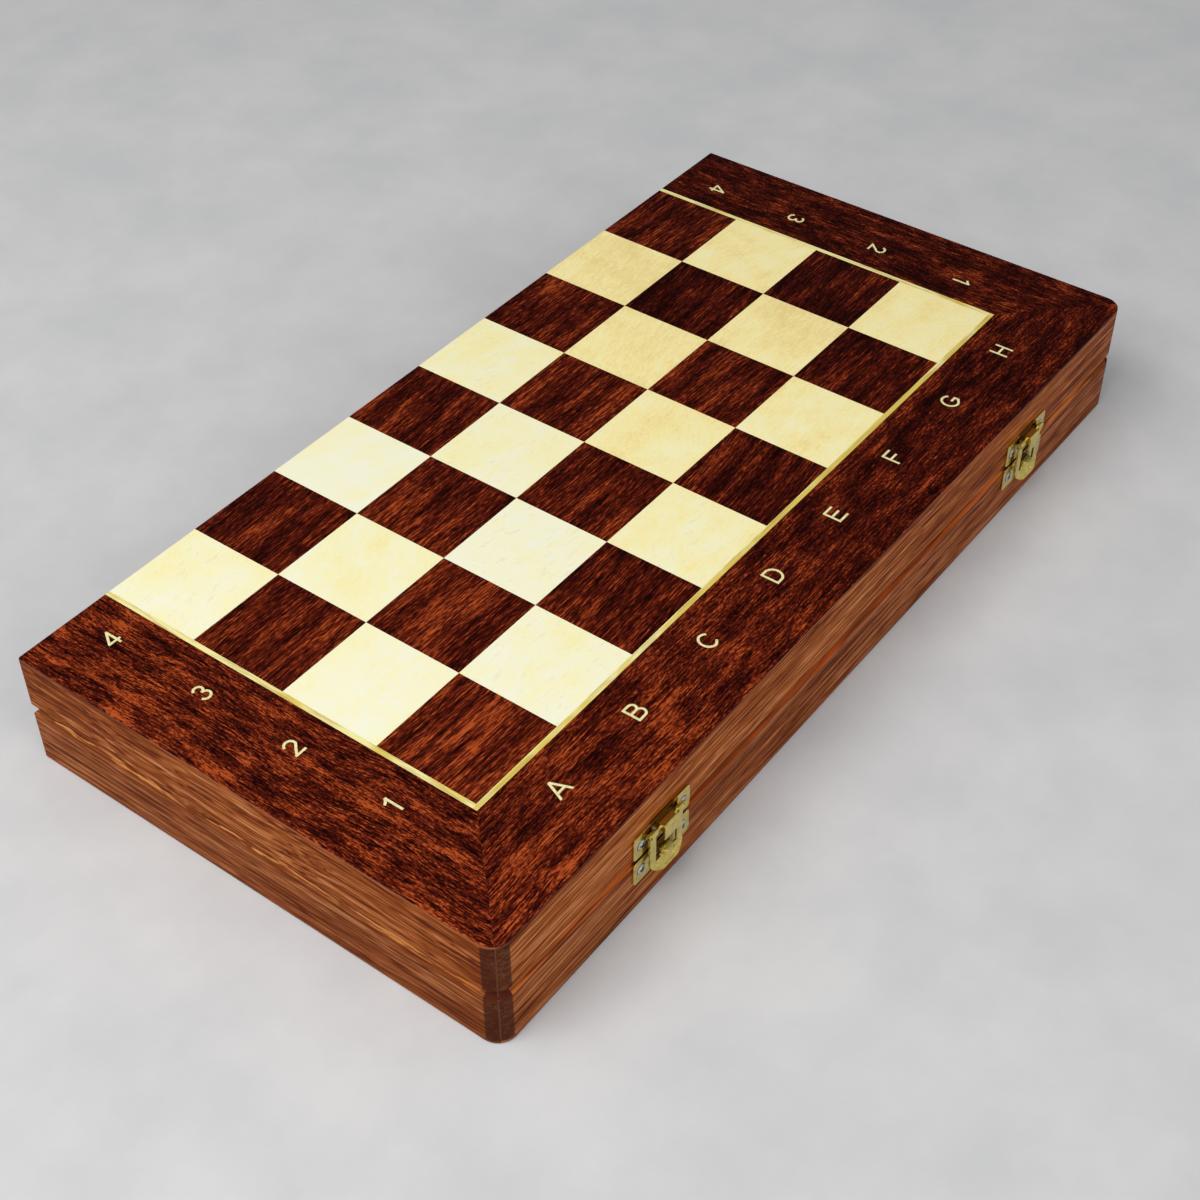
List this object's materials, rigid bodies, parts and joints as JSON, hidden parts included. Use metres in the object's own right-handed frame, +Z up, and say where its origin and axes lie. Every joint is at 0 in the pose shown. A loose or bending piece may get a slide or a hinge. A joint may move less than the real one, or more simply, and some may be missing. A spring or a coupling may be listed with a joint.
{
  "type": "folding chess case",
  "caption": "Shallow hinged wooden case whose outer faces are the two halves of a chess board, shut by brass lever latches, with a felt-lined tray in each half.",
  "frame": {"origin": "middle of the underside of the shut case, on the surface that it rests on", "axes": "+X along the latched side from file A to file H, +Y from the latches to the hinges, +Z up"},
  "size_m": [0.4, 0.2067, 0.0474],
  "materials": {
    "side_wood": "satin varnish, straight reddish brown grain",
    "dark_veneer": "satin varnish, dark red-brown with black and orange-red streaks",
    "pale_veneer": "satin varnish, cream with a faint figure",
    "plywood": "plain",
    "felt": "short felt",
    "latch_brass": "bright pressed brass",
    "hinge_brass": "satin pressed brass",
    "screw_steel": "bright plated steel"
  },
  "bodies": {
    "base": {"base_front_rail": "side_wood", "base_back_rail": "side_wood", "base_left_rail": "side_wood", "base_right_rail": "side_wood", "base_panel": "plywood", "base_dark_squares": "dark_veneer", "base_pale_squares": "pale_veneer", "base_stringing": "pale_veneer", "base_front_border": "dark_veneer", "base_left_border": "dark_veneer", "base_right_border": "dark_veneer", "base_lining": "felt", "left_catch_plate": "latch_brass", "left_catch_screws": "screw_steel", "left_hinge_base_leaf": "hinge_brass", "left_hinge_pin": "screw_steel", "right_catch_plate": "latch_brass", "right_catch_screws": "screw_steel", "right_hinge_base_leaf": "hinge_brass", "right_hinge_pin": "screw_steel", "base_hinge_screws": "hinge_brass"},
    "lid": {"lid_front_rail": "side_wood", "lid_back_rail": "side_wood", "lid_left_rail": "side_wood", "lid_right_rail": "side_wood", "lid_panel": "plywood", "lid_dark_squares": "dark_veneer", "lid_pale_squares": "pale_veneer", "lid_stringing": "pale_veneer", "lid_front_border": "dark_veneer", "lid_left_border": "dark_veneer", "lid_right_border": "dark_veneer", "lid_lining": "felt", "left_keeper_plate": "latch_brass", "left_keeper_screws": "screw_steel", "left_latch_pin": "latch_brass", "left_hinge_lid_leaf": "hinge_brass", "right_keeper_plate": "latch_brass", "right_keeper_screws": "screw_steel", "right_latch_pin": "latch_brass", "right_hinge_lid_leaf": "hinge_brass", "lid_hinge_screws": "hinge_brass"},
    "left_lever": {"left_latch_lever": "latch_brass"},
    "right_lever": {"right_latch_lever": "latch_brass"}
  },
  "joints": [
    {"name": "lid_hinge", "type": "hinge", "parent": "base", "child": "lid", "pos_m": [0, 0.10015, 0.0237], "axis": [-1, 0, 0], "range_deg": [0, 180]},
    {"name": "left_lever_swing", "type": "hinge", "parent": "lid", "child": "left_lever", "pos_m": [-0.12, -0.10225, 0.0315], "axis": [-1, 0, 0], "range_deg": [0, 120]},
    {"name": "right_lever_swing", "type": "hinge", "parent": "lid", "child": "right_lever", "pos_m": [0.12, -0.10225, 0.0315], "axis": [-1, 0, 0], "range_deg": [0, 120]}
  ]
}
